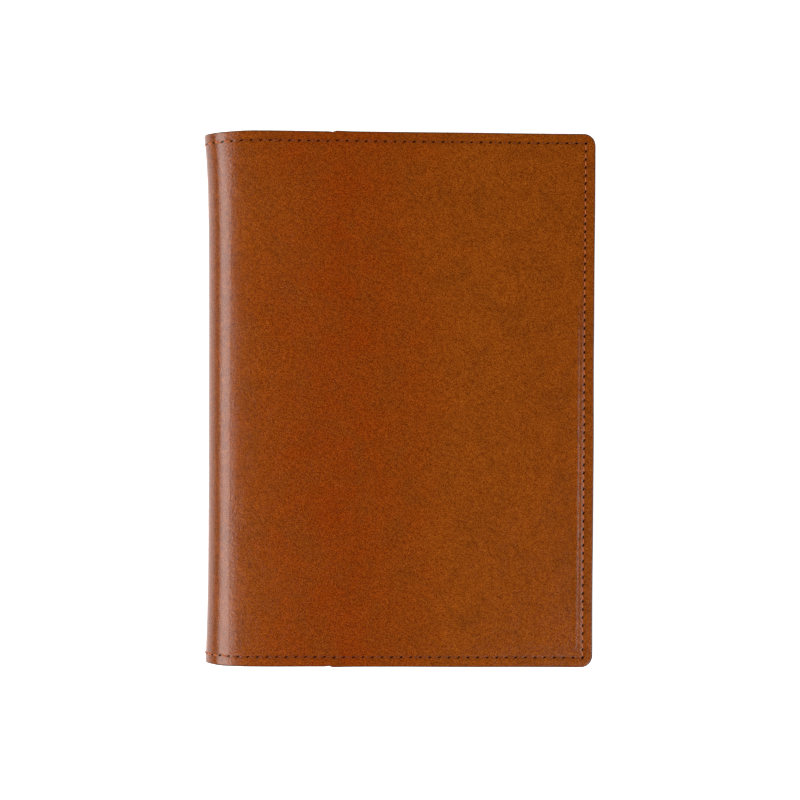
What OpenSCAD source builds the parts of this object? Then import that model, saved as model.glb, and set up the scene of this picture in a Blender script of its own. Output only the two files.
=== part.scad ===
// Leather notebook cover, closed round a thread-sewn A5 notebook and lying on its back panel.
// Frame: +Z up, +Y towards the head of the book, +X from the spine to the fore-edge.
// The origin is the middle of the base. One sheet of leather wraps the whole book. It bends at two
// hinge lines along the outer face of the half-round spine, which part it into back, spine and front.

/* [Cover] */
// Width of the closed cover, from the spine to the fore-edge
cover_w = 160; // [150:1:175]
// Height of the cover, head to tail
cover_h = 220; // [216:1:230]
// Thickness of the closed cover at the spine
spine_t = 20.4; // [18:0.2:26]
// Angle by which the front panel dips towards the fore-edge, in degrees
wedge = 1.2; // [0:0.1:1.6]
// Corner radius of the panels at the fore-edge
corner_r = 4.5; // [2:0.5:10]

/* [Leather] */
// Thickness of the outer leather
shell_t = 1.4; // [1.0:0.1:1.8]
// Thickness of the lining
lining_t = 0.7; // [0.5:0.1:1.0]
// Thickness of the leather of the inside pockets
pocket_t = 0.9; // [0.6:0.1:1.2]
// Depth of each pocket, from the fore-edge to its mouth
pocket_depth = 108; // [60:1:125]

/* [Stitching] */
// Distance from the edge of the leather to the line of stitches
stitch_inset = 4.1; // [3.5:0.1:5]
// Stitch length along the head and the tail
head_pitch = 3.95; // [3:0.05:5]
// Stitch length along the fore-edge
fore_pitch = 3.3; // [3:0.05:5]
// Width of the thread
thread_w = 0.7; // [0.4:0.05:0.8]

/* [Notebook] */
// Height of the notebook's cover
notebook_h = 210; // [205:0.5:210.5]
// Thickness of the notebook's cover
board_t = 0.8; // [0.4:0.1:0.9]
// Height of the pages
page_h = 208; // [200:0.5:208]
// Gap between the edge of the notebook's cover and the fore-edge of the leather
board_margin = 6.8; // [6.4:0.1:10]
// Gap between the edge of the pages and the fore-edge of the leather
page_margin = 8.5; // [7.5:0.1:14]

/* [Hidden] */
// Number of sewn sections in the notebook: the front half turns with the front panel
sections = 8;
half = sections / 2;
// Number of hinge lines down the spine
folds = 2;

// The spine's outer face is an arc of this radius about (arc_x, arc_r) in the XZ plane.
arc_r = spine_t / 2;
arc_x = -cover_w / 2 + arc_r;
// The arc turns from the back panel to the front panel. Opened flat, each hinge line turns one share of it.
arc_turn = 180 + wedge;
fold_turn = arc_turn / folds;
// The front panel's outer face reaches furthest in X, because it is tilted about the arc's centre.
panel_l = (cover_w / 2 - arc_x - arc_r * sin(wedge)) / cos(wedge);
panel_end = arc_x + panel_l;
mouth_x = panel_end - pocket_depth;

// Depths of the layers, measured inwards from the outer face.
fit_gap = 0.1;
lining_in = shell_t + lining_t;
board_out = lining_in + fit_gap;
board_in = board_out + board_t;
pocket_out = board_in + fit_gap;
pocket_in = pocket_out + pocket_t;
page_out = pocket_in + 0.3;

// Stitches lie in a groove outside and on the surface inside. A hole parts one from the next.
groove_w = thread_w + 0.3;
groove_t = 0.45;
thread_t = 0.35;
hole_gap = 0.9;
stitch_y = cover_h / 2 - stitch_inset;
stitch_x = panel_end - stitch_inset;
// Stitches on the part of the arc from a panel to the nearest hinge line, and twice as many on the spine
arc_stitches = 2;

// The gap left at each hinge line, as an angle of the arc, and the gap between the sections
strip_gap = 0.6;
section_gap = 0.08;
// The sections' folds stand this far from the arc's centre line, towards the spine.
fold_x = arc_x - 2.2;
page_end = panel_end - page_margin;
fold_round = 0.4;

eps = 0.01;
$fn = 96;

leather = "saddlebrown";
lining_colour = "burlywood";
thread_colour = "chocolate";
board_colour = "darkslategray";
page_colour = "ivory";

// Joint axes, for positive turns about -Y. Hinge line i of the spine, 1 to folds:
function hinge_angle(i) = fold_turn * (i - 0.5);
function hinge_line(i) = [arc_x - arc_r * sin(hinge_angle(i)), 0, arc_r - arc_r * cos(hinge_angle(i))];
// Opened flat, the book's gutter is over the middle of the spine.
gutter_x = arc_x - folds * arc_r * sin(fold_turn / 2);
// Section j slides this far towards the gutter as the book opens, counted from the nearest panel, 1 to half.
// The outer ones move least, because the cover curves up to their folds.
function section_slide(j) = (fold_x - gutter_x - 0.15) * pow(j / half, 1.6);

echo(hinges = [for (i = [1:folds]) hinge_line(i)], fold_turn = fold_turn, arc_turn = arc_turn);
echo(slides = [for (j = [1:half]) section_slide(j)], gutter_x = gutter_x);
echo(panel_end = panel_end, mouth_x = mouth_x, page_out = page_out, page_end = page_end);

// ---------- Helpers ----------

// Carries what is drawn for the back panel to the front one: mirrored, then tilted about the arc's centre.
module on_front() {
  translate([arc_x, 0, arc_r]) rotate([0, wedge, 0]) mirror([0, 0, 1])
    translate([-arc_x, 0, -arc_r]) children();
}

// A flat panel from x0 to x1, h high, with its two fore-edge corners rounded
module panel_outline(x0, x1, h, r) {
  translate([x0, -h / 2]) square([x1 - r - x0, h]);
  translate([x0, -h / 2 + r]) square([x1 - x0, h - 2 * r]);
  for (side = [-1, 1]) translate([x1 - r, side * (h / 2 - r)]) circle(r);
}

// The same as a plate between two depths from the outer face
module panel(x0, x1, h, r, out, in) {
  translate([0, 0, out]) linear_extrude(in - out) panel_outline(x0, x1, h, r);
}

// A curved strip of the spine between two angles of the arc and two depths, w wide along Y
module arc_strip(a0, a1, out, in, w) {
  translate([arc_x, 0, arc_r]) rotate([90, 0, 0]) rotate([0, 0, 270 - a1])
    rotate_extrude(angle = a1 - a0)
      translate([arc_r - in, -w / 2]) square([in - out, w]);
}

// The XZ section of a layer: straight from x1 to the arc, then round it to the angle a1
module layer_section(x1, a1, out, in) {
  translate([arc_x, out]) square([x1 - arc_x, in - out]);
  translate([arc_x, arc_r]) intersection() {
    difference() {
      circle(arc_r - out);
      circle(arc_r - in);
    }
    polygon([[0, 0], [0, -2 * arc_r], [-2 * arc_r * tan(a1 / 2), -2 * arc_r],
             2 * arc_r * [-sin(a1), -cos(a1)]]);
  }
}

// Draws children of the XZ plane w wide along Y, across its middle
module across(w) {
  rotate([90, 0, 0]) linear_extrude(w, center = true) children();
}

// A plate that carries on round the arc as far as its hinge line, as one sheet
module panel_and_lip(x1, h, r, out, in) {
  intersection() {
    across(h) layer_section(x1, lip_end, out, in);
    linear_extrude(arc_r) panel_outline(arc_x - 2 * arc_r, x1, h, r);
  }
}

// Places children at the stitch lines of the head and of the tail
module head_and_tail() {
  for (side = [-1, 1]) translate([0, side * stitch_y, 0]) children();
}

// Angles of the arc where a panel's edge ends, and where the spine starts and ends
lip_end = hinge_angle(1) - strip_gap / 2;
spine_start = hinge_angle(1) + strip_gap / 2;
spine_end = hinge_angle(2) - strip_gap / 2;

// ---------- One layer of a panel ----------

module shell_panel() {
  difference() {
    panel_and_lip(panel_end, cover_h, corner_r, 0, shell_t);
    head_and_tail() across(groove_w) layer_section(stitch_x + groove_w / 2, lip_end + 1, -eps, groove_t);
    translate([stitch_x - groove_w / 2, -stitch_y, -eps])
      cube([groove_w, 2 * stitch_y, groove_t + eps]);
  }
}

module lining_panel() panel_and_lip(panel_end, cover_h, corner_r, shell_t, lining_in);

// A tray: the pocket's sheet, and the edges that are sewn down round the notebook's cover
module pocket_panel() {
  difference() {
    panel(mouth_x, panel_end, cover_h, corner_r, lining_in, pocket_in);
    translate([mouth_x - 1, -notebook_h / 2 - fit_gap, lining_in - 1])
      cube([panel_end - board_margin + fit_gap - mouth_x + 1, notebook_h + 2 * fit_gap, pocket_out - lining_in + 1]);
  }
}

module notebook_panel() panel_and_lip(panel_end - board_margin, notebook_h, corner_r / 2, board_out, board_in);

// ---------- Stitches ----------

// A row of stitches n long from p towards +X, between two depths
module stitch_row(n, pitch, out, in) {
  for (i = [0:n - 1])
    translate([i * pitch + hole_gap / 2, -thread_w / 2, out])
      cube([pitch - hole_gap, thread_w, in - out]);
}

// A row of n stitches round the arc between two angles and two depths
module arc_stitch_row(a0, a1, n, out, in) {
  gap = hole_gap / arc_r * 180 / PI;
  step = (a1 - a0) / n;
  for (i = [0:n - 1])
    arc_strip(a0 + i * step + gap / 2, a0 + (i + 1) * step - gap / 2, out, in, thread_w);
}

// Head, tail and fore-edge stitches of a panel. The thread lies deeper where the pocket adds its leather.
module panel_stitches(out, in, extra) {
  head_n = round((stitch_x - arc_x) / head_pitch);
  head_step = (stitch_x - arc_x) / head_n;
  plain_n = floor((mouth_x - arc_x) / head_step);
  fore_n = round(2 * stitch_y / fore_pitch);
  head_and_tail() {
    translate([arc_x, 0, 0]) stitch_row(plain_n, head_step, out, in);
    translate([arc_x + (plain_n + 1) * head_step, 0, 0])
      stitch_row(head_n - plain_n - 1, head_step, out + extra, in + extra);
    arc_stitch_row(0, lip_end, arc_stitches, out, in);
  }
  translate([stitch_x, -stitch_y, 0]) rotate([0, 0, 90])
    stitch_row(fore_n, 2 * stitch_y / fore_n, out + extra, in + extra);
}

module needle_thread_panel() panel_stitches(groove_t - thread_t, groove_t, 0);
module bobbin_thread_panel() panel_stitches(lining_in, lining_in + thread_t, pocket_in - lining_in);

// ---------- Spine ----------

module shell_arc() {
  difference() {
    arc_strip(spine_start, spine_end, 0, shell_t, cover_h);
    head_and_tail() arc_strip(spine_start - 1, spine_end + 1, -eps, groove_t, groove_w);
  }
}

module stitched_arc(out, in) {
  head_and_tail() arc_stitch_row(spine_start, spine_end, 2 * arc_stitches, out, in);
}

// ---------- Pages ----------

// Boundary k between sections, 0 to sections: the planes fan out from level to the front panel's tilt.
function plane_tilt(k) = wedge * k / sections;
function plane_offset(k) = (arc_r - page_out) * (2 * k / sections - 1);
function plane_z(k, x, lift) =
  arc_r + (plane_offset(k) + lift - (x - arc_x) * sin(plane_tilt(k))) / cos(plane_tilt(k));

// Folded sheets, thinnest at the fore-edge, with the fold's edges eased
module section(k) {
  low = section_gap / 2;
  color(page_colour) across(page_h)
    polygon([
      [fold_x + fold_round, plane_z(k - 1, fold_x + fold_round, low)],
      [page_end, plane_z(k - 1, page_end, low)],
      [page_end, plane_z(k, page_end, -low)],
      [fold_x + fold_round, plane_z(k, fold_x + fold_round, -low)],
      [fold_x, plane_z(k, fold_x, -low) - fold_round],
      [fold_x, plane_z(k - 1, fold_x, low) + fold_round]
    ]);
}

// ---------- Named pieces ----------

module shell_back() color(leather) shell_panel();
module lining_back() color(lining_colour) lining_panel();
module pocket_back() color(leather) pocket_panel();
module notebook_cover_back() color(board_colour) notebook_panel();
module needle_thread_back() color(thread_colour) needle_thread_panel();
module bobbin_thread_back() color(thread_colour) bobbin_thread_panel();

module shell_spine() color(leather) shell_arc();
module lining_spine() color(lining_colour) arc_strip(spine_start, spine_end, shell_t, lining_in, cover_h);
module notebook_cover_spine() color(board_colour) arc_strip(spine_start, spine_end, board_out, board_in, notebook_h);
module needle_thread_spine() color(thread_colour) stitched_arc(groove_t - thread_t, groove_t);
module bobbin_thread_spine() color(thread_colour) stitched_arc(lining_in, lining_in + thread_t);

module shell_front() color(leather) on_front() shell_panel();
module lining_front() color(lining_colour) on_front() lining_panel();
module pocket_front() color(leather) on_front() pocket_panel();
module notebook_cover_front() color(board_colour) on_front() notebook_panel();
module needle_thread_front() color(thread_colour) on_front() needle_thread_panel();
module bobbin_thread_front() color(thread_colour) on_front() bobbin_thread_panel();

shell_back();
lining_back();
pocket_back();
notebook_cover_back();
needle_thread_back();
bobbin_thread_back();
shell_spine();
lining_spine();
notebook_cover_spine();
needle_thread_spine();
bobbin_thread_spine();
shell_front();
lining_front();
pocket_front();
notebook_cover_front();
needle_thread_front();
bobbin_thread_front();
section(1);  // section_1
section(2);  // section_2
section(3);  // section_3
section(4);  // section_4
section(5);  // section_5
section(6);  // section_6
section(7);  // section_7
section(8);  // section_8
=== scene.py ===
"""Leather notebook cover with a round spine, closed round a sewn notebook.

The scene is in metres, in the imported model's frame. The cover's sizes below are in millimetres, and those
of bumps, floor, lights and camera in metres.
Every layer of the cover is one sheet that runs from the back panel's fore-edge, round the spine, to the
front panel's fore-edge. A point on it is (s, y, depth) in millimetres: s runs along the outer face and is 0
where the spine's arc starts, y points to the head, and depth is measured inwards from the outer face.
"""

import math

import bpy
import numpy as np
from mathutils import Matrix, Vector


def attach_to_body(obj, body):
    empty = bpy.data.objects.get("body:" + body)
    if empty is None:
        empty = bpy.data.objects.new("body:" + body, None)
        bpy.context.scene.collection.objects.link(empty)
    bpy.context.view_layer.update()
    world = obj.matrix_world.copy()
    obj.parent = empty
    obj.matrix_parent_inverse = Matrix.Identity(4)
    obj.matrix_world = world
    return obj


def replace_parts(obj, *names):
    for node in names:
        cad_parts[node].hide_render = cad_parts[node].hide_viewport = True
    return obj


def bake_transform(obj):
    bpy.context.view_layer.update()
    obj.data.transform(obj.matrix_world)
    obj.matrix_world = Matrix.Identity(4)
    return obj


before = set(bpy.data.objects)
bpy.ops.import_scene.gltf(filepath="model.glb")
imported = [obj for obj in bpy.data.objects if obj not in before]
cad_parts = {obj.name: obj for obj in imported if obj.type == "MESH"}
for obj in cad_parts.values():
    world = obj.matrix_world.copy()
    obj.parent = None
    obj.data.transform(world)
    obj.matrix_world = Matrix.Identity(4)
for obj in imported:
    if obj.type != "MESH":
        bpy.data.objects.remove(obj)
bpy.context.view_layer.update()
MM = 0.001

# ---------------------------------------------------------------- sizes, in mm, as in the CAD

R = 10.2                                   # the spine's outer radius
XC = -80 + R                               # the arc's centre line in X
WEDGE = math.radians(1.2)                  # the front panel's dip
TURN = math.pi + WEDGE
ARC = R * TURN                             # length of the arc
PANEL = (80 - XC - R * math.sin(WEDGE)) / math.cos(WEDGE)
HALF_H = 110.0
CORNER = 5.0                               # radius of the outline's corners
INSET = 4.1                                # edge to stitch line
STITCH_Y = HALF_H - INSET
STITCH_T = PANEL - INSET
HEAD_N = 37                                # stitches along a panel at head and tail
HEAD_STEP = STITCH_T / HEAD_N
ARC_N = 8                                  # stitches round the spine
ARC_STEP = ARC / ARC_N
FORE_N = 64                                # stitches down a fore-edge
FORE_STEP = 2 * STITCH_Y / FORE_N
SHELL_IN, LINING_IN = 1.4, 2.1             # depths of the inner faces of the outer leather and the lining
CARD_OUT, CARD_IN = 2.2, 3.0               # depths of the notebook's cover
CARD_HALF_H = 105.0
CARD_INSET = 6.8                           # fore-edge to the notebook's cover
POCKET_T = 0.9                             # the pocket's thickness
SEWN_IN, FLAP_IN = 3.0, 4.0                # depths of the pocket's face, at the seam and over the notebook
MOUTH_T = PANEL - 108.0                    # the pocket's mouth
MID = ARC / 2


# ---------------------------------------------------------------- the sheet's place in space

def place(s, depth):
    """x and z of points on the sheet, arrays in mm."""
    s, depth = np.broadcast_arrays(np.asarray(s, float), np.asarray(depth, float))
    a = np.clip(s, 0, ARC) / R
    r = R - depth
    x, z = XC - r * np.sin(a), R - r * np.cos(a)
    x = x - np.minimum(s, 0)
    past = np.maximum(s - ARC, 0)
    return x + past * math.cos(WEDGE), z - past * math.sin(WEDGE)


def smooth(t):
    t = np.clip(t, 0, 1)
    return t * t * (3 - 2 * t)


def ripple(x, y, seed, scale):
    """Smooth seeded noise from a few sine waves, about -1 to 1."""
    rng = np.random.default_rng(seed)
    out = 0
    for _ in range(7):
        a, p, f = rng.uniform(0, 2 * math.pi), rng.uniform(0, 2 * math.pi), rng.uniform(0.6, 1.7) / scale
        out = out + np.sin((x * math.cos(a) + y * math.sin(a)) * f * 2 * math.pi + p)
    return out / 4


def from_fore(s):
    """Distance in from the nearest fore-edge along the sheet."""
    return np.where(s > MID, ARC + PANEL - s, s + PANEL)


def outline(s, y):
    """Moves grid points onto the cover's outline: rounded corners, the bulge where the pocket's edge starts,
    and a slight unevenness of the cut edge. Returns s, y and the distance to the edge."""
    s, y = s.astype(float).copy(), y.astype(float).copy()
    p = np.clip((CORNER - from_fore(s)) / CORNER, 0, 1)
    q = np.clip((CORNER - (HALF_H - np.abs(y))) / CORNER, 0, 1)
    both = (p > 0) & (q > 0)
    px, qy = p * np.sqrt(1 - q * q / 2), q * np.sqrt(1 - p * p / 2)
    toward = np.where(s > MID, 1, -1)
    edge = np.minimum(from_fore(s), HALF_H - np.abs(y))
    s = np.where(both, s + toward * (px - p) * CORNER, s)
    y = np.where(both, y + np.sign(y) * (qy - q) * CORNER, y)
    edge = np.where(both, CORNER * (1 - np.minimum(np.hypot(px, qy), 1)), edge)
    # the pocket's edge adds its thickness from its mouth on
    t = np.where(s > MID, s - ARC, -s)
    after = t - MOUTH_T
    bulge = 0.38 * smooth(after / 1.2) * np.exp(-np.maximum(after, 0) / 7.0)
    step = bulge - 0.22 * np.exp(-(((after + 0.5) / 0.9) ** 2))
    near_head = smooth((np.abs(y) - 90) / 16)
    # the leather draws in a little where it bends round the spine, more at the head
    draw = smooth((MID + 9 - np.abs(s - MID)) / 20) * np.where(y > 0, 0.85, 0.30)
    y = y + np.sign(y) * near_head * (step + 0.10 * ripple(s, y * 0, 3, 60) - draw)
    near_fore = smooth((12 - from_fore(s)) / 12)
    s = s + toward * near_fore * (0.10 * ripple(y, y * 0, 5, 70) - 0.05)
    return s, y, edge


def spine_flare(s, y):
    """How far the spine stands out: it flares at head and tail, where the notebook doesn't fill it."""
    a = np.clip(s, 0, ARC) / R
    round_ = np.clip(np.sin(a), 0, 1) ** 1.6
    head = 1.95 * np.exp(-((np.maximum(HALF_H - y, 0) / 17) ** 1.15))
    tail = 1.25 * np.exp(-((np.maximum(HALF_H + y, 0) / 24) ** 1.10))
    return round_ * (head + tail - 0.26 + 0.60 * y / HALF_H)


def lines_near(value, at, width):
    """1 on the line where value is at, falling off to either side."""
    return np.exp(-((value - at) / width) ** 2)


def furrow(s, y):
    """0 to 1 across the stitched line."""
    t = PANEL - from_fore(s)
    across_head = lines_near(np.abs(y), STITCH_Y, 0.70) * smooth((STITCH_T + 0.8 - t) / 0.8)
    across_fore = lines_near(t, STITCH_T, 0.70) * smooth((STITCH_Y + 0.8 - np.abs(y)) / 0.8)
    return np.maximum(across_head, across_fore)


def pits(s, y):
    """1 at the centre of a stitch hole, 0 at its rim and beyond. A hole is a short slit along the seam."""
    t = PANEL - from_fore(s)
    on_arc = (s > 0) & (s < ARC)
    along = np.where(on_arc, s - ARC_STEP * np.round(s / ARC_STEP), t - HEAD_STEP * np.round(t / HEAD_STEP))
    up = (y + STITCH_Y) - FORE_STEP * np.round((y + STITCH_Y) / FORE_STEP)

    def slit(a, b, there):
        return np.clip(1 - np.abs(a) / 0.66, 0, 1) * np.clip(1 - np.abs(b) / 0.40, 0, 1) * there

    return np.maximum(slit(along, np.abs(y) - STITCH_Y, t < STITCH_T + 0.8),
                      slit(up, t - STITCH_T, np.abs(y) < STITCH_Y + 0.8))


def relief(s, y):
    """How far the outer face stands proud of the flat sheet, without stitches."""
    front = smooth((s - ARC) / 12)
    e = from_fore(s)
    # the edge of the notebook's cover pressing through, strongest at mid-height and faint towards the head
    seen = smooth((58 - y) / 34) * (0.45 + 0.55 * smooth((y + 95) / 60))
    seen = seen * (0.80 + 0.25 * ripple(y, y * 0, 17, 9))
    ridge = 0.30 * lines_near(e, 7.0, 1.15) + 0.10 * lines_near(e, 5.2, 0.5)
    ridge = ridge * (0.08 + 0.92 * seen)
    inside = 0.12 * smooth((e - 5.6) / 4.5)
    head_e = HALF_H - np.abs(y)
    inside = inside * smooth((head_e - 5.2) / 5.5)
    soft = 0.10 * ripple(s, y, 11, 62) + 0.035 * ripple(s, y, 12, 19)
    soft = soft * smooth((e - 6) / 14) * smooth((head_e - 5) / 14)
    return front * (ridge * smooth((head_e - 6) / 6) + inside + soft)


def proud(s, y):
    """Relief with the spine's flare and the gentle roll where the spine runs into the front panel.
    Over the roll the curvature goes from 1 / R to 0 as a smooth step about w wide, and tail is that step
    integrated twice, as a series."""
    w = 2.05 - 0.40 * y / HALF_H
    u = np.abs(s - ARC) / w
    tail = sum((-1) ** (n + 1) * np.exp(-n * u) / n ** 2 for n in range(1, 14))
    roll = w * w / R * np.where(s > ARC, tail, (math.pi ** 2 / 6 - tail) * smooth(1 - (ARC - s) / 17))
    return relief(s, y) + spine_flare(s, y) - roll


def round_over(edge, radius):
    """Depth lost where an edge is rounded."""
    d = np.clip(radius - edge, 0, radius)
    return radius - np.sqrt(np.maximum(radius * radius - d * d, 0))


# ---------------------------------------------------------------- mesh making

def tidy_lines(values, least=0.012):
    """Grid lines in order, without those nearer than least to the one before."""
    out = []
    for v in sorted(values):
        if not out or v - out[-1] > least:
            out.append(v)
    return np.array(out)


EDGE_LINES = (0, 0.04, 0.12, 0.25, 0.42, 0.65, 1.0, 1.6)      # distances in from a cut edge


def stitch_lines(count, step):
    """Lines at each hole, just past both ends of its slit, and midway to the next."""
    return [k * step + d for k in range(count + 1) for d in (-0.70, 0, 0.70, step / 2)]


def y_lines(fine):
    """Lines across the height, closest at the stitches and the cut edges."""
    v = [0.0]
    if fine:
        v += [x for x in stitch_lines(FORE_N // 2, FORE_STEP) if 0 <= x < STITCH_Y + 0.5]
        v += [STITCH_Y + d for d in (-2.4, -1.2, -0.8, -0.42, 0, 0.42, 0.8, 1.2, 1.8)]
    else:
        v += list(np.arange(0, 100, 4.0))
        v += [102, 104, 104.6, 104.9, 105.1, 105.3, 105.5, 105.7, 105.9, 106.4, 107.4]
    v += [HALF_H - d for d in EDGE_LINES]
    v = tidy_lines([x for x in v if x >= 0])
    return np.concatenate([-v[:0:-1], v])


def t_lines(fine):
    """Lines along a panel, as distances from the arc."""
    v = [0.0, 0.03]
    if fine:
        v += stitch_lines(HEAD_N, HEAD_STEP)
        v += [STITCH_T + d for d in (-1.2, -0.42, 0.42, 1.2)]
        v += list(PANEL - np.arange(5.2, 10.4, 0.4))
    else:
        v += list(np.arange(0, PANEL - 9, 4.0))
        v += [PANEL - d for d in (8.6, 7.6, 6.8, 5.8, 4.8, 3.8, 2.8)]
    v += [PANEL - d for d in EDGE_LINES]
    return tidy_lines([x for x in v if 0 <= x <= PANEL])


def arc_lines(lo, hi, fine):
    """Lines round the spine from lo to hi."""
    n = ARC_N * (6 if fine else 4)
    v = [ARC * k / n for k in range(n + 1)] + [lo, hi, lo + 0.03, hi - 0.03]
    return tidy_lines([x for x in v if lo - 1e-9 <= x <= hi + 1e-9])


def new_object(name, verts, faces, uv, attributes=None):
    """A mesh object with a uv map called Sheet, one uv a vertex, and named vertex attributes."""
    mesh = bpy.data.meshes.new(name)
    mesh.from_pydata([tuple(v) for v in verts], [], faces)
    mesh.update()
    add_uv(mesh, "Sheet", uv)
    for key, value in (attributes or {}).items():
        a = mesh.attributes.new(key, "FLOAT", "POINT")
        a.data.foreach_set("value", np.asarray(value, np.float32))
    obj = bpy.data.objects.new(name, mesh)
    bpy.context.scene.collection.objects.link(obj)
    mesh.shade_smooth()
    return obj


def add_uv(mesh, name, uv):
    """A uv map with one uv a vertex."""
    layer = mesh.uv_layers.new(name=name)
    index = np.empty(len(mesh.loops), np.int32)
    mesh.loops.foreach_get("vertex_index", index)
    layer.data.foreach_set("uv", np.asarray(uv, np.float32)[index].ravel())


class Grid:
    """A tensor grid over the sheet that can be walled along its free edges."""

    def __init__(self, s_values, y_values):
        self.ns, self.ny = len(s_values), len(y_values)
        self.s0, self.y0 = np.meshgrid(s_values, y_values, indexing="ij")

    def index(self, i, j):
        return i * self.ny + j

    def faces(self, outward):
        out = []
        for i in range(self.ns - 1):
            for j in range(self.ny - 1):
                f = (self.index(i, j), self.index(i + 1, j), self.index(i + 1, j + 1), self.index(i, j + 1))
                out.append(f if outward else f[::-1])
        return out

    def rim(self, first, last):
        """Boundary as runs of (i, j), walked in one turn; first and last say if those s ends are free."""
        run = []
        if first:
            run += [[(0, j) for j in range(self.ny - 1, -1, -1)]]
        low = [(i, 0) for i in range(self.ns)]
        high = [(i, self.ny - 1) for i in range(self.ns - 1, -1, -1)]
        run += [low]
        if last:
            run += [[(self.ns - 1, j) for j in range(self.ny)]]
        run += [high]
        return run


def bridge(runs, above, below, outward):
    """Faces between two rows of a wall; above and below give the vertex at each rim point."""
    out = []
    for run in runs:
        for a, b in zip(run, run[1:]):
            f = (above[a], below[a], below[b], above[b])
            out.append(f if outward else f[::-1])
    return out


def sheet(name, s_values, y_values, shape, rings, first, last, outward=True, back=None):
    """One strip of a layer, closed all round: its face as a grid, walls down its long edges, and a back.
    shape(s0, y0) gives s, y, depth and attributes on the face. rings are (depth, inset) rows of the wall.
    first and last say if those s ends are free edges, with a wall, or meet the next strip with a flat end.
    back, if given, is the depth of a second grid; otherwise one plain face or a strip of faces closes it."""
    g = Grid(s_values, y_values)
    s, y, depth, attributes = shape(g.s0, g.y0)
    x, z = place(s, depth)
    verts = [np.stack([x.ravel(), y.ravel(), z.ravel()], 1)]
    uv = [np.stack([s.ravel(), y.ravel()], 1)]
    att = {k: [v.ravel()] for k, v in attributes.items()}
    faces = g.faces(outward)
    count = verts[0].shape[0]
    runs = g.rim(first, last)
    path = list(dict.fromkeys(p for r in runs for p in r))
    free_rows = [i for i, free in ((0, first), (g.ns - 1, last)) if free]
    rows = []
    for depth_row, inset in rings:
        row, pts, uvs = {}, [], []
        for i, j in path:
            ss, yy = s[i, j], y[i, j]
            if i in free_rows:
                ss = ss - np.sign(ss - MID) * inset
            if j in (0, g.ny - 1):
                yy = yy - np.sign(yy) * inset
            row[(i, j)] = count + len(pts)
            px, pz = place(ss, depth_row)
            pts.append((float(px), yy, float(pz)))
            uvs.append((ss, yy))
        verts.append(np.array(pts))
        uv.append(np.array(uvs))
        for k in att:
            att[k].append(np.full(len(pts), 1.0 if k == "edge" else 0.0))
        count += len(pts)
        rows.append(row)
    before = {p: g.index(*p) for p in path}
    for row in rows:
        faces += bridge(runs, before, row, outward)
        before = row
    if back is not None:
        xb, zb = place(s, np.full_like(s, back))
        verts.append(np.stack([xb.ravel(), y.ravel(), zb.ravel()], 1))
        uv.append(np.stack([s.ravel(), y.ravel()], 1))
        for k in att:
            att[k].append(np.zeros(xb.size))
        faces += [tuple(count + v for v in f[::-1]) for f in g.faces(outward)]
        back_row = {p: count + g.index(*p) for p in path}
        faces += bridge(runs, before, back_row, outward)
        rows.append(back_row)
    elif first or last:
        # each run without its last point, which starts the next run. On the back panel no run starts at the
        # corner by the spine's tail, so that one corner is left out
        loop = [before[p] for r in runs for p in r[:-1]] + [before[runs[-1][-1]]]
        loop = list(dict.fromkeys(loop))
        faces.append(tuple(loop[::-1] if outward else loop))
    else:
        for i in range(g.ns - 1):
            f = (before[(i, 0)], before[(i + 1, 0)], before[(i + 1, g.ny - 1)], before[(i, g.ny - 1)])
            faces.append(f[::-1] if outward else f)
    # a flat end where this strip meets the next one, its edges kept sharp so that the layer shades as one
    sharp = set()
    for i, free in ((0, first), (g.ns - 1, last)):
        if free:
            continue
        top = [g.index(i, j) for j in range(g.ny)]
        down = [row[(i, g.ny - 1)] for row in rows]
        up = [row[(i, 0)] for row in rows][::-1]
        under = [count + g.index(i, j) for j in range(g.ny - 2, 0, -1)] if back is not None else []
        loop = top + down + under + up
        faces.append(tuple(loop if (i > 0) != outward else loop[::-1]))
        sharp |= {tuple(sorted(e)) for e in zip(loop, loop[1:] + loop[:1])}
    att = {k: np.concatenate(v) for k, v in att.items()}
    obj = new_object(name, np.concatenate(verts) * MM, faces, np.concatenate(uv) * MM, att)
    for e in obj.data.edges:
        if tuple(sorted(e.vertices)) in sharp:
            e.use_edge_sharp = True
    return obj


# ---------------------------------------------------------------- materials

def new_material(name):
    """A material with an empty Principled shader: the material, its Build and the shader."""
    m = bpy.data.materials.new(name)
    m.use_nodes = True
    m.node_tree.nodes.clear()
    b = Build(m.node_tree)
    out = b.node("ShaderNodeOutputMaterial")
    bsdf = b.node("ShaderNodeBsdfPrincipled")
    b.link(bsdf.outputs[0], out.inputs[0])
    return m, b, bsdf


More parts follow.
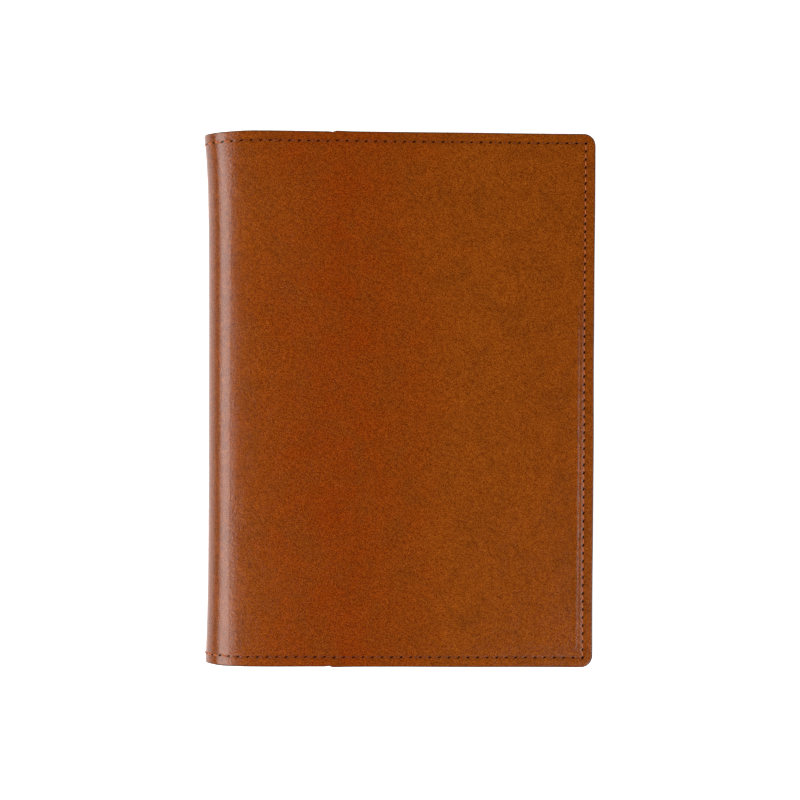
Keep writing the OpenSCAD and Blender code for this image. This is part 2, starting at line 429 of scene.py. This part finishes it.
class Build:
    """Small helpers to wire a node tree."""

    def __init__(self, tree):
        self.t = tree

    def node(self, kind, **values):
        n = self.t.nodes.new(kind)
        for k, v in values.items():
            setattr(n, k, v)
        return n

    def link(self, a, b):
        self.t.links.new(a, b)

    def uv(self, turn=0.0):
        """The sheet's own coordinates in mm, turned by that angle in radians."""
        u = self.node("ShaderNodeUVMap", uv_map="Sheet")
        m = self.node("ShaderNodeMapping")
        m.inputs["Scale"].default_value = (1000, 1000, 1000)
        m.inputs["Rotation"].default_value = (0, 0, turn)
        self.link(u.outputs[0], m.inputs[0])
        return m.outputs[0]

    def noise(self, vector, scale, detail=3.0, rough=0.55, distortion=0.0):
        n = self.node("ShaderNodeTexNoise")
        n.inputs["Scale"].default_value = scale
        n.inputs["Detail"].default_value = detail
        n.inputs["Roughness"].default_value = rough
        n.inputs["Distortion"].default_value = distortion
        self.link(vector, n.inputs["Vector"])
        return n.outputs[0]

    def ramp(self, value, *stops):
        r = self.node("ShaderNodeValToRGB")
        e = r.color_ramp.elements
        while len(e) < len(stops):
            e.new(0.5)
        for k, (p, c) in enumerate(stops):
            e[k].position = p
            e[k].color = (*c, 1) if hasattr(c, "__len__") else (c, c, c, 1)
        self.link(value, r.inputs[0])
        return r.outputs[0]

    def mix(self, factor, a, b):
        m = self.node("ShaderNodeMix", data_type="RGBA")
        for socket, value in ((m.inputs[0], factor), (m.inputs[6], a), (m.inputs[7], b)):
            if isinstance(value, bpy.types.NodeSocket):
                self.link(value, socket)
            else:
                socket.default_value = value if not hasattr(value, "__len__") else (*value, 1)
        return m.outputs[2]

    def math(self, op, a, b=None):
        m = self.node("ShaderNodeMath", operation=op)
        for socket, value in zip(m.inputs, (a, b)):
            if value is None:
                continue
            if isinstance(value, bpy.types.NodeSocket):
                self.link(value, socket)
            else:
                socket.default_value = value
        return m.outputs[0]

    def tinted(self, colour, tint):
        """colour times tint, not clamped."""
        m = self.node("ShaderNodeVectorMath", operation="MULTIPLY")
        self.link(colour, m.inputs[0])
        self.link(tint, m.inputs[1])
        return m.outputs[0]

    def attribute(self, name):
        return self.node("ShaderNodeAttribute", attribute_name=name).outputs["Fac"]

    def bump(self, height, strength, distance, normal=None):
        b = self.node("ShaderNodeBump")
        b.inputs["Strength"].default_value = strength
        b.inputs["Distance"].default_value = distance
        self.link(height, b.inputs["Height"])
        if normal is not None:
            self.link(normal, b.inputs["Normal"])
        return b.outputs[0]


def leather_material():
    """Glazed vegetable-tanned leather: hand-rubbed colour, fine grain, dark paint on the cut edge."""
    m, b, bsdf = new_material("glazed_leather")
    v = b.uv()
    # slow drift of the dye over the panel, from warm tan to a redder brown in a band 46 mm from the spine
    sep = b.node("ShaderNodeSeparateXYZ")
    b.link(v, sep.inputs[0])
    wander = b.noise(v, 0.021, 2.5, 0.5)
    along = b.math("ADD", sep.outputs[0], b.math("MULTIPLY", b.math("SUBTRACT", wander, 0.5), 46.0))
    band = b.math("DIVIDE", b.math("ABSOLUTE", b.math("SUBTRACT", along, ARC + 46.0)), 50.0)
    band = b.ramp(band, (0.0, 0.0), (0.45, 0.32), (1.0, 1.0))
    base = b.mix(band, (0.252, 0.0305, 0.0005), (0.296, 0.0625, 0.0028))
    cloud = b.ramp(b.noise(v, 0.055, 5.0, 0.62), (0.34, 0.0), (0.66, 1.0))
    base = b.mix(b.math("MULTIPLY", cloud, 0.50), base, (0.245, 0.0530, 0.0030))
    # hand rubbing: short cloudy strokes and small blotches
    rub = b.ramp(b.noise(v, 0.23, 4.0, 0.6, 0.6), (0.36, 0.0), (0.70, 1.0))
    base = b.mix(b.math("MULTIPLY", rub, 0.50), base, (0.175, 0.0300, 0.0010))
    smudge = b.ramp(b.noise(b.uv(1.1), 0.085, 4.0, 0.6, 0.8), (0.46, 0.0), (0.70, 1.0))
    base = b.mix(b.math("MULTIPLY", smudge, 0.55), base, (0.180, 0.0400, 0.0024))
    blotch = b.ramp(b.noise(v, 0.95, 4.0, 0.65), (0.40, 0.0), (0.72, 1.0))
    base = b.mix(b.math("MULTIPLY", blotch, 0.22), base, (0.315, 0.0760, 0.0050))
    # the grain itself: colour gathers in the pores and is rubbed off between them
    g = b.uv(0.62)
    fine = b.math("MULTIPLY", b.noise(g, 1.9, 2.0, 0.8), 0.8)
    grain = b.math("ADD", fine, b.math("MULTIPLY", b.noise(g, 0.6, 3.0, 0.6), 0.2))
    pores = b.ramp(grain, (0.34, (0.27, 0.04, 0.0)), (0.50, (1.0, 1.0, 1.0)), (0.66, (1.73, 2.15, 4.5)))
    base = b.tinted(base, pores)
    # the spine has been handled darker
    # the leather is darker round the middle of the spine
    from_mid = b.math("DIVIDE", b.math("ABSOLUTE", b.math("SUBTRACT", sep.outputs[0], MID)), 30.0)
    base = b.tinted(base, b.ramp(from_mid, (0.27, 0.72), (0.50, 1.0)))
    # painted shade darkens the seam's furrow and turns its holes nearly black; the cut edge is painted
    base = b.mix(b.math("MULTIPLY", b.attribute("furrow"), 0.30), base, (0.105, 0.0150, 0.0008))
    edge_noise = b.noise(v, 0.5, 3.0)
    paint = b.mix(edge_noise, (0.020, 0.0080, 0.0045), (0.055, 0.0170, 0.0060))
    base = b.mix(b.attribute("edge"), base, paint)
    # painted shade: the stitch holes nearly black
    pit = b.ramp(b.attribute("pit"), (0.03, 0.0), (0.20, 1.0))
    base = b.mix(pit, base, (0.0025, 0.0010, 0.0006))
    b.link(base, bsdf.inputs["Base Color"])
    # glazed, but dull down in the holes, where painted shade also tints the reflection near black
    rough = b.math("ADD", b.math("MULTIPLY", b.noise(v, 0.4, 4.0, 0.6), 0.07), 0.115)
    rough = b.math("ADD", rough, b.math("MULTIPLY", pit, 0.8))
    b.link(rough, bsdf.inputs["Roughness"])
    bsdf.inputs["Specular IOR Level"].default_value = 0.5
    b.link(b.mix(pit, (1.0, 1.0, 1.0), (0.05, 0.03, 0.02)), bsdf.inputs["Specular Tint"])
    cells = b.node("ShaderNodeTexVoronoi", feature="SMOOTH_F1")
    cells.inputs["Scale"].default_value = 1.15
    cells.inputs["Smoothness"].default_value = 0.35
    b.link(v, cells.inputs["Vector"])
    n = b.bump(cells.outputs[0], 0.35, 0.00010)
    n = b.bump(grain, 1.0, 0.00008, n)
    n = b.bump(b.noise(v, 0.16, 3.0, 0.5), 0.45, 0.00026, n)
    b.link(n, bsdf.inputs["Normal"])
    return m


def lining_material():
    """Undyed suede-like leather with a soft nap and darkened edges."""
    m, b, bsdf = new_material("lining_leather")
    v = b.uv()
    patches = b.ramp(b.noise(v, 0.06, 4.0), (0.3, 0.0), (0.7, 1.0))
    base = b.mix(patches, (0.300, 0.140, 0.052), (0.380, 0.190, 0.078))
    nap = b.ramp(b.noise(v, 3.2, 4.0, 0.7), (0.3, 0.0), (0.7, 1.0))
    base = b.mix(b.math("MULTIPLY", nap, 0.25), base, (0.240, 0.105, 0.036))
    base = b.mix(b.attribute("edge"), base, (0.045, 0.0150, 0.0060))
    b.link(base, bsdf.inputs["Base Color"])
    bsdf.inputs["Roughness"].default_value = 0.82
    bsdf.inputs["Specular IOR Level"].default_value = 0.3
    bsdf.inputs["Sheen Weight"].default_value = 0.25
    n = b.bump(b.noise(v, 3.0, 5.0, 0.7), 0.5, 0.00012)
    b.link(n, bsdf.inputs["Normal"])
    return m


def card_material():
    """Black book cloth with a fine weave."""
    m, b, bsdf = new_material("notebook_card")
    v = b.uv()
    base = b.mix(b.noise(v, 0.2, 4.0), (0.030, 0.026, 0.025), (0.044, 0.038, 0.035))
    weave_a = b.node("ShaderNodeTexWave", wave_type="BANDS", bands_direction="X")
    weave_b = b.node("ShaderNodeTexWave", wave_type="BANDS", bands_direction="Y")
    for w in (weave_a, weave_b):
        w.inputs["Scale"].default_value = 0.55
        w.inputs["Distortion"].default_value = 0.6
        b.link(v, w.inputs["Vector"])
    cloth = b.math("MULTIPLY", weave_a.outputs["Fac"], weave_b.outputs["Fac"])
    base = b.mix(b.math("MULTIPLY", cloth, 0.5), base, (0.062, 0.054, 0.050))
    b.link(base, bsdf.inputs["Base Color"])
    bsdf.inputs["Roughness"].default_value = 0.75
    b.link(b.bump(cloth, 0.5, 0.00008), bsdf.inputs["Normal"])
    return m


def thread_material():
    """Waxed thread of two plies, with painted shade darkening it between the plies and where it lies sunk in
    the leather.
    """
    m, b, bsdf = new_material("waxed_thread")
    u = b.node("ShaderNodeUVMap", uv_map="Sheet")
    sep = b.node("ShaderNodeSeparateXYZ")
    b.link(u.outputs[0], sep.inputs[0])
    # two plies wind round the thread: u runs along it in twists, v round it; painted shade darkens the
    # colour between the plies
    ply = b.math("ADD", sep.outputs[0], b.math("MULTIPLY", sep.outputs[1], 2.0))
    ply = b.math("ABSOLUTE", b.math("SINE", b.math("MULTIPLY", ply, math.pi)))
    base = b.mix(ply, (0.260, 0.0480, 0.0090), (0.660, 0.1750, 0.0400))
    # painted shade where the stitch lies sunk in the leather
    base = b.mix(b.math("MULTIPLY", b.attribute("sunk_shade"), 0.85), base, (0.080, 0.0140, 0.0035))
    b.link(base, bsdf.inputs["Base Color"])
    bsdf.inputs["Roughness"].default_value = 0.58
    bsdf.inputs["Specular IOR Level"].default_value = 0.22
    b.link(b.bump(ply, 0.6, 0.00008), bsdf.inputs["Normal"])
    return m


def paper_material():
    """Cream paper."""
    m, b, bsdf = new_material("paper")
    v = b.uv()
    fibres = b.noise(v, 1.6, 5.0, 0.7)
    base = b.mix(fibres, (0.690, 0.620, 0.480), (0.750, 0.685, 0.545))
    # painted shade: fine dark lines between the leaves, on the cut edges only
    sep = b.node("ShaderNodeSeparateXYZ")
    b.link(b.node("ShaderNodeUVMap", uv_map="Leaves").outputs[0], sep.inputs[0])
    leaf = b.math("ABSOLUTE", b.math("SINE", b.math("MULTIPLY", sep.outputs[0], math.pi)))
    line = b.math("MULTIPLY", b.math("SUBTRACT", 1.0, b.ramp(leaf, (0.0, 0.0), (0.45, 1.0))), sep.outputs[1])
    base = b.mix(b.math("MULTIPLY", line, 0.55), base, (0.380, 0.320, 0.230))
    b.link(base, bsdf.inputs["Base Color"])
    bsdf.inputs["Roughness"].default_value = 0.88
    bsdf.inputs["Specular IOR Level"].default_value = 0.25
    b.link(b.bump(b.noise(v, 2.4, 4.0), 0.25, 0.00004), bsdf.inputs["Normal"])
    return m


LEATHER, LINING, CARD, THREAD, PAPER = (
    leather_material(), lining_material(), card_material(), thread_material(), paper_material())


def dress(obj, material):
    """Gives a piece its material."""
    obj.data.materials.clear()
    obj.data.materials.append(material)
    return obj


# ---------------------------------------------------------------- bodies and bends

def bend_line(low):
    """Start and end of the bend across a hinge line, in metres. All depths at a panel's end lie before
    start, and all at the middle of the spine lie after end."""
    start, end = (XC, CARD_IN), (XC - (R - CARD_IN), R)

    def front(p):
        """The same on the front half: mirrored about the arc's middle height, then tipped by the wedge."""
        across, up = p[0] - XC, R - p[1]
        c, s = math.cos(WEDGE), math.sin(WEDGE)
        return XC + across * c + up * s, R - across * s + up * c

    if not low:
        start, end = front(end), front(start)
    return tuple((x * MM, 0.0, z * MM) for x, z in (start, end))


def attach(obj, zone):
    """zone: back, low (first half of the spine), high (second half) or front."""
    if zone == "back":
        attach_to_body(obj, "back_cover")
    elif zone == "front":
        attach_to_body(obj, "front_cover")
    elif zone == "low":
        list(bend_line(True))
        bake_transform(obj)
    else:
        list(bend_line(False))
        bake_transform(obj)
    return obj


ZONES = ("back", "low", "high", "front")


def zone_lines(zone, fine, trim=0.0):
    """s lines of a zone, fine for the outer leather; trim leaves that much free at the fore-edge."""
    if zone in ("back", "front"):
        t = t_lines(fine)
        if trim:
            kept = [v for v in t if v < PANEL - trim - 0.7]
            t = tidy_lines(kept + [PANEL - trim - d for d in (0, 0.06, 0.2, 0.5)])
        return -t[::-1] if zone == "back" else ARC + t
    return arc_lines(0, MID, fine) if zone == "low" else arc_lines(MID, ARC, fine)


# ---------------------------------------------------------------- the layers

def shell_shape(zone):
    """The outer leather's face; on the back panel nothing stands proud of the flat sheet."""
    def shape(s0, y0):
        s, y, edge = outline(s0, y0)
        groove = furrow(s0, y0)
        hole = pits(s0, y0)
        up = proud(s0, y0) - 0.09 * groove - 0.26 * hole
        if zone == "back":
            up = np.minimum(up, 0)
        dark = smooth((0.62 - edge) / 0.40)
        return s, y, round_over(edge, 0.55) - up, {"edge": dark, "furrow": groove, "pit": hole}
    return shape


def make_shell(zone):
    rings = [(0.75, 0.0), (1.20, 0.0), (SHELL_IN, 0.06)]
    obj = sheet("leather_" + zone, zone_lines(zone, True), y_lines(True), shell_shape(zone),
                rings, zone == "back", zone == "front")
    return dress(obj, LEATHER)


def lining_shape(s0, y0):
    s, y, edge = outline(s0, y0)
    flare = spine_flare(s0, y0)
    depth = LINING_IN - round_over(edge, 0.28) - flare + 0.10 * furrow(s0, y0)
    return s, y, depth, {"edge": smooth((0.25 - edge) / 0.2)}


def make_lining(zone):
    obj = sheet("lining_" + zone, zone_lines(zone, False), y_lines(False), lining_shape,
                [(1.60, 0.0), (SHELL_IN, 0.06)], zone == "back", zone == "front", outward=False)
    return dress(obj, LINING)


def card_grid(zone):
    v = tidy_lines(list(np.arange(0, 102, 5.0)) + [CARD_HALF_H - d for d in (0, 0.06, 0.2, 0.5, 1.5)])
    return zone_lines(zone, False, CARD_INSET), np.concatenate([-v[:0:-1], v])


def card_shape(s0, y0):
    edge = np.minimum(CARD_HALF_H - np.abs(y0), from_fore(s0) - CARD_INSET)
    # skived in the two folds, so that it clears the pages when it bends
    on_arc = (s0 > 0) & (s0 < ARC)
    thin = np.where(on_arc, 0.55 * np.sin(math.pi * s0 / MID) ** 2, 0)
    return s0, y0, CARD_IN - thin - round_over(edge, 0.3), {"edge": 0 * edge}


def make_card(zone):
    s_values, y_values = card_grid(zone)
    obj = sheet("notebook_cover_" + zone, s_values, y_values, card_shape, [(CARD_OUT + 0.25, 0.0)],
                zone == "back", zone == "front", outward=False, back=CARD_OUT)
    return dress(obj, CARD)


def make_pocket(zone):
    """The pocket: sewn flat at its edge, it rises over the notebook's cover, and its mouth is a cut edge."""
    at_mouth = [MOUTH_T + d for d in (0, 0.05, 0.15, 0.3, 0.6, 1.2, 2.4)]
    between = list(np.arange(MOUTH_T + 4, PANEL - 9, 4.0))
    t = tidy_lines(at_mouth + between + [v for v in t_lines(False) if v > PANEL - 9])
    s_values = -t[::-1] if zone == "back" else ARC + t

    def shape(s0, y0):
        s, y, edge = outline(s0, y0)
        t0 = PANEL - from_fore(s0)
        over = np.minimum(smooth((HALF_H - np.abs(y0) - 4.3) / 0.8), smooth((from_fore(s0) - 4.6) / 2.0))
        mouth = t0 - MOUTH_T
        depth = (SEWN_IN + (FLAP_IN - SEWN_IN) * over) - round_over(edge, 0.35) - round_over(mouth, 0.3)
        depth = depth - 0.12 * furrow(s0, y0)
        dark = np.maximum(smooth((0.45 - edge) / 0.3), smooth((0.45 - mouth) / 0.3))
        return s, y, depth, {"edge": dark, "furrow": furrow(s0, y0), "pit": 0 * edge}

    obj = pocket_sheet("pocket_leather_" + zone, s_values, y_lines(False), shape)
    return dress(obj, LEATHER)


def pocket_sheet(name, s_values, y_values, shape):
    """A closed sheet whose other side follows its face, and lies on the lining along the seam."""
    g = Grid(s_values, y_values)
    s, y, depth, attributes = shape(g.s0, g.y0)
    _, _, edge = outline(g.s0, g.y0)
    under = np.where(edge < 2.5, LINING_IN, np.maximum(depth - POCKET_T, LINING_IN))
    n = g.ns * g.ny
    verts = []
    for side in (depth, under):
        x, z = place(s, side)
        verts.append(np.stack([x.ravel(), y.ravel(), z.ravel()], 1))
    verts = np.concatenate(verts) * MM
    uv = np.concatenate([np.stack([s.ravel(), y.ravel()], 1)] * 2) * MM
    att = {}
    for key, v in attributes.items():
        att[key] = np.concatenate([v.ravel(), np.full(n, 1.0 if key == "edge" else 0.0)])
    faces = g.faces(False) + [tuple(n + v for v in f) for f in g.faces(True)]
    for r in g.rim(True, True):
        for a, b in zip(r, r[1:]):
            faces.append((g.index(*a), g.index(*b), n + g.index(*b), n + g.index(*a)))
    return new_object(name, verts, faces, uv, att)


# ---------------------------------------------------------------- stitches

THREAD_R, ARC_THREAD_R = 0.29, 0.34        # the needle thread shows fuller where it bends round the spine
THREAD_SIDES, THREAD_RINGS = 8, 9
REACH = 0.30                               # from a hole's centre to the stitch's end in it
SLANT = 0.30                               # how far a stitch runs across the seam
ARC_SLANT = 2.1                            # times as much round the spine


def tube(points, radii, across):
    """A thread along points in (s, y, depth), flattened a little against the leather. across is the sheet
    direction square to it. Returns vertices in mm, faces, uvs."""
    n = len(points)
    ring = []
    for (s0, y0, d), radius in zip(points, radii):
        for q in range(THREAD_SIDES):
            a = 2 * math.pi * q / THREAD_SIDES
            side, up = math.cos(a) * radius, math.sin(a) * radius * 0.82
            x, z = place(s0 + across[0] * side, d - up)
            ring.append((float(x), y0 + across[1] * side, float(z)))
    faces = []
    for k in range(n - 1):
        here, there = k * THREAD_SIDES, (k + 1) * THREAD_SIDES
        for q in range(THREAD_SIDES):
            r = (q + 1) % THREAD_SIDES
            faces.append((here + q, here + r, there + r, there + q))
    faces.append(tuple(range(THREAD_SIDES))[::-1])
    faces.append(tuple((n - 1) * THREAD_SIDES + q for q in range(THREAD_SIDES)))
    # faces look outwards whichever way the thread runs
    corners = np.array(ring)
    turn = np.cross(corners[1] - corners[0], corners[2] - corners[1])
    if turn @ (corners[-THREAD_SIDES] - corners[0]) < 0:
        faces = [f[::-1] for f in faces]
    twists = 4.0
    uv = [(k / (n - 1) * twists, q / THREAD_SIDES) for k in range(n) for q in range(THREAD_SIDES)]
    return ring, faces, uv


def stitch_list(zone):
    """Stitches of a zone as (start, end, across, sunk). start and end are (s, y), and sunk is 1 for the
    stitches of a panel's head and tail, which are pulled down into the leather."""
    out = []
    if zone in ("back", "front"):
        sign = -1 if zone == "back" else 1
        base = 0 if zone == "back" else ARC
        for side in (-1, 1):
            for k in range(HEAD_N):
                start = (base + sign * k * HEAD_STEP, side * STITCH_Y)
                end = (base + sign * (k + 1) * HEAD_STEP, side * STITCH_Y)
                out.append((start, end, (0, 1), 1.0))
        for k in range(FORE_N):
            y = -STITCH_Y + k * FORE_STEP
            out.append(((base + sign * STITCH_T, y), (base + sign * STITCH_T, y + FORE_STEP), (1, 0), 0.0))
    else:
        first = 0 if zone == "low" else ARC_N // 2
        for side in (-1, 1):
            for k in range(first, first + ARC_N // 2):
                start, end = (k * ARC_STEP, side * STITCH_Y), ((k + 1) * ARC_STEP, side * STITCH_Y)
                out.append((start, end, (0, 1), 0.0))
    return out


def thread_depth(zone, inside, s, y, arch, lift, sunk):
    """Depth of a thread's centre. arch is 0 in the holes and 1 at the middle of the stitch."""
    here = np.array([s]), np.array([y])
    if inside:
        in_pocket = zone in ("back", "front") and PANEL - from_fore(s) > MOUTH_T
        face = (SEWN_IN if in_pocket else LINING_IN) - float(spine_flare(*here)[0])
        return face - 0.55 + 0.72 * arch
    face = 0.09 if zone == "back" else float(0.09 * furrow(*here)[0] - proud(*here)[0])
    d = face + 0.62 - (0.68 + lift - 0.18 * sunk) * arch
    if zone == "back":
        return max(d, 0.26)
    if zone != "front":
        # kept clear of the table where the spine meets the back panel
        return max(d - 0.12 * arch, 0.30 - R * (1 - math.cos(s / R)))
    return d


def make_threads(zone, inside):
    """The stitches of a zone: needle threads on the outer face, bobbin threads on the inside."""
    verts, faces, uvs, sunk_shade = [], [], [], []
    rng = np.random.default_rng(21 + ZONES.index(zone) + 10 * inside)
    on_arc = zone in ("low", "high")
    full_radius = ARC_THREAD_R if on_arc and not inside else THREAD_R
    for (s0, y0), (s1, y1), across, sunk in stitch_list(zone):
        reach = REACH / math.hypot(s1 - s0, y1 - y0)
        slant = SLANT + rng.uniform(-0.06, 0.06)
        lift = rng.uniform(-0.03, 0.03)
        pts, radii = [], []
        for q in range(THREAD_RINGS):
            f = q / (THREAD_RINGS - 1)
            g = reach + f * (1 - 2 * reach)
            off = slant * (0.5 - f) * (1 - 0.35 * sunk) * (ARC_SLANT if on_arc else 1)
            s, y = s0 + (s1 - s0) * g + across[0] * off, y0 + (y1 - y0) * g + across[1] * off
            s, y = (float(v[0]) for v in outline(np.array([s]), np.array([y]))[:2])
            arch = math.sin(math.pi * f) ** 0.55
            pts.append((s, y, thread_depth(zone, inside, s, y, arch, lift, sunk)))
            radii.append(full_radius * (0.72 + 0.28 * arch))
            # painted shade along the middle of the sunk stitches, and a faint even amount on every stitch
            middle = math.sin(math.pi * f) ** 1.5
            sunk_shade += [sunk * middle * 0.95 + 0.06] * THREAD_SIDES
        ring, fs, uv = tube(pts, radii, across)
        base = len(verts)
        verts += ring
        faces += [tuple(base + v for v in f) for f in fs]
        uvs += uv
    name = ("bobbin_stitches_" if inside else "needle_stitches_") + zone
    obj = new_object(name, np.array(verts) * MM, faces, np.array(uvs), {"sunk_shade": sunk_shade})
    return dress(obj, THREAD)


# ---------------------------------------------------------------- pages

SECTIONS, SHEETS = 8, 8                    # sections, and folded sheets in each
PAGE_HALF_H = 104.0
FOLD_X = XC - 2.2                          # the sections' folded edge
NOSE = 1.7                                 # length of a section's rounded fold
PAGE_END = XC + PANEL - 8.5
PAGE_OUT = 4.3                             # depth of the outermost pages
SECTION_GAP = 0.05                         # a section keeps this clear of the planes on either side
ALONG = 12                                 # points along a section's flat faces


def plane_z(k, x, lift):
    """Height at x of plane k, moved by lift. Section k lies between planes k - 1 and k, which fan out evenly
    within the wedge."""
    tilt = WEDGE * k / SECTIONS
    off = (R - PAGE_OUT) * (2 * k / SECTIONS - 1)
    return R + (off + lift - (x - XC) * math.sin(tilt)) / math.cos(tilt)


def section_profile(k):
    """A section seen from the tail, as (x, z, leaf, cut): leaf counts the leaves from the bottom, and cut
    is 1 on their cut edges. Also gives the height at x and a fraction of the section's thickness."""
    rng = np.random.default_rng(60 + k)
    n = 2 * SHEETS
    points = []

    def height(x, f):
        return plane_z(k - 1, x, SECTION_GAP) * (1 - f) + plane_z(k, x, -SECTION_GAP) * f

    for x in np.linspace(FOLD_X + NOSE, PAGE_END - 1.5, ALONG):
        points.append((x, height(x, 0), 0.0, 0.0))
    for q in range(n):
        x = PAGE_END - rng.uniform(0, 0.16)
        for f in (q + 0.10, q + 0.90):
            points.append((x, height(x, f / n), f, 1.0))
        if q < n - 1:
            # the gap between two leaves
            points.append((x - 0.45, height(x, (q + 1.0) / n), q + 1.0, 1.0))
    for x in np.linspace(PAGE_END - 1.5, FOLD_X + NOSE, ALONG):
        points.append((x, height(x, 1), float(n), 0.0))
    for a in np.radians(np.linspace(80, -80, 9)):
        f = 0.5 + 0.5 * math.sin(a)
        points.append((FOLD_X + NOSE - NOSE * math.cos(a), height(FOLD_X + 0.5, f), f * n, 0.0))
    return points, height


def section_end(ring, inner):
    """The end of a section: a face for each leaf and each gap between leaves, the two outer flaps, and the
    fold. ring is the profile's vertices, and inner the leaves' corners where the fold starts."""
    n = 2 * SHEETS
    top = ALONG + 3 * n - 1
    faces = [ring[:ALONG + 1] + [inner[0]]]
    for q in range(n):
        i = ALONG + 3 * q
        faces.append([inner[2 * q], ring[i], ring[i + 1], inner[2 * q + 1]])
        if q < n - 1:
            faces.append([inner[2 * q + 1], ring[i + 1], ring[i + 2], ring[i + 3], inner[2 * q + 2]])
    faces.append([inner[-1]] + ring[top - 1:top + ALONG])
    faces.append([ring[0]] + inner + ring[top + ALONG - 1:])
    return faces


def make_section(k):
    """Folded sheets: a rounded fold at the spine, and leaves that part in fine steps at the cut edges."""
    points, height = section_profile(k)
    n, m = 2 * SHEETS, len(points)
    ys = [-PAGE_HALF_H, -PAGE_HALF_H + 0.05, *np.linspace(-100, 100, 21), PAGE_HALF_H - 0.05, PAGE_HALF_H]
    verts = [(x, y, z) for y in ys for x, z, _, _ in points]
    leaves = [(leaf, cut) for _ in ys for _, _, leaf, cut in points]
    faces = []
    for r in range(len(ys) - 1):
        for c in range(m):
            d = (c + 1) % m
            faces.append(((r + 1) * m + c, (r + 1) * m + d, r * m + d, r * m + c))
    for r, flip in ((0, False), (len(ys) - 1, True)):
        inner = []
        for q in range(n):
            for f in ((q + 0.10) / n, (q + 0.90) / n):
                inner.append(len(verts))
                verts.append((FOLD_X + NOSE, ys[r], height(FOLD_X + NOSE, f)))
                leaves.append((f * n, 1.0))
        ends = section_end([r * m + c for c in range(m)], inner)
        faces += [tuple(e[::-1] if flip else e) for e in ends]
    verts = np.array(verts) * MM
    obj = new_object("section_pages_%d" % k, verts, faces, verts[:, :2])
    add_uv(obj.data, "Leaves", leaves)
    obj.data.shade_flat()
    dress(obj, PAPER)
    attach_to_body(obj, "section_%d" % k)
    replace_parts(obj, "section_%d" % k)
    return obj


# ---------------------------------------------------------------- assemble

CAD_PART = {"back": "back", "low": "spine", "high": "spine", "front": "front"}
for zone in ZONES:
    part = CAD_PART[zone]
    for obj, node in ((make_shell(zone), "shell_"), (make_lining(zone), "lining_"),
                      (make_card(zone), "notebook_cover_"), (make_threads(zone, False), "needle_thread_"),
                      (make_threads(zone, True), "bobbin_thread_")):
        attach(obj, zone)
        if zone != "high":
            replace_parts(obj, node + part)
    if zone in ("back", "front"):
        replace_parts(attach(make_pocket(zone), zone), "pocket_" + part)

for k in range(1, SECTIONS + 1):
    make_section(k)


# ---------------------------------------------------------------- floor, light and camera

FLOOR_HALF, FLOOR_Z = 15, -0.0004          # metres; the floor lies just under the cover
PALE = 0.9


def make_floor():
    """A wide floor that also glows, so that it comes out white."""
    material, _, bsdf = new_material("pale_floor")
    bsdf.inputs["Base Color"].default_value = (PALE, PALE, PALE, 1)
    bsdf.inputs["Roughness"].default_value = 1.0
    bsdf.inputs["Specular IOR Level"].default_value = 0.0
    bsdf.inputs["Emission Color"].default_value = (1, 1, 1, 1)
    bsdf.inputs["Emission Strength"].default_value = 0.85
    mesh = bpy.data.meshes.new("floor")
    corners = ((-1, -1), (1, -1), (1, 1), (-1, 1))
    mesh.from_pydata([(x * FLOOR_HALF, y * FLOOR_HALF, FLOOR_Z) for x, y in corners], [], [(0, 1, 2, 3)])
    obj = bpy.data.objects.new("floor", mesh)
    bpy.context.scene.collection.objects.link(obj)
    mesh.materials.append(material)
    return obj


make_floor()


def softbox(name, azimuth, elevation, distance, width, height, power):
    """A rectangular light at that azimuth (0 is +X, 90 is +Y) and elevation in degrees, facing the origin.
    Distance, width and height are in metres, power in watts."""
    data = bpy.data.lights.new(name, "AREA")
    data.shape = "RECTANGLE"
    data.size, data.size_y = width, height
    data.energy = power
    obj = bpy.data.objects.new(name, data)
    bpy.context.scene.collection.objects.link(obj)
    a, e = math.radians(azimuth), math.radians(elevation)
    obj.location = Vector((math.cos(a) * math.cos(e), math.sin(a) * math.cos(e), math.sin(e))) * distance
    obj.rotation_euler = (-obj.location).to_track_quat("-Z", "Y").to_euler()


softbox("left_softbox", 186, 51, 1.1, 1.4, 0.64, 14.6)
softbox("right_softbox", -32, 52, 1.3, 1.1, 0.45, 4.5)

# a dark ceiling and pale walls
world = bpy.data.worlds.new("studio")
world.use_nodes = True
wb = Build(world.node_tree)
split = wb.node("ShaderNodeSeparateXYZ")
wb.link(wb.node("ShaderNodeTexCoord").outputs["Generated"], split.inputs[0])
shade = wb.ramp(split.outputs[2], (0.10, 0.95), (0.36, 0.22), (0.64, 0.006))
wb.link(shade, world.node_tree.nodes["Background"].inputs[0])
bpy.context.scene.world = world

# the camera looks straight down from 0.6 m over the front cover
CAMERA_UP = 0.600
camera_data = bpy.data.cameras.new("camera")
camera_data.sensor_width = 36
camera_data.lens = 65.9
camera = bpy.data.objects.new("camera", camera_data)
bpy.context.scene.collection.objects.link(camera)
camera.location = (0.0, -0.00025, 2 * R * MM + CAMERA_UP)
camera.rotation_euler = (0, 0, math.radians(0.38))
bpy.context.scene.camera = camera
bpy.context.scene.view_settings.view_transform = "Standard"
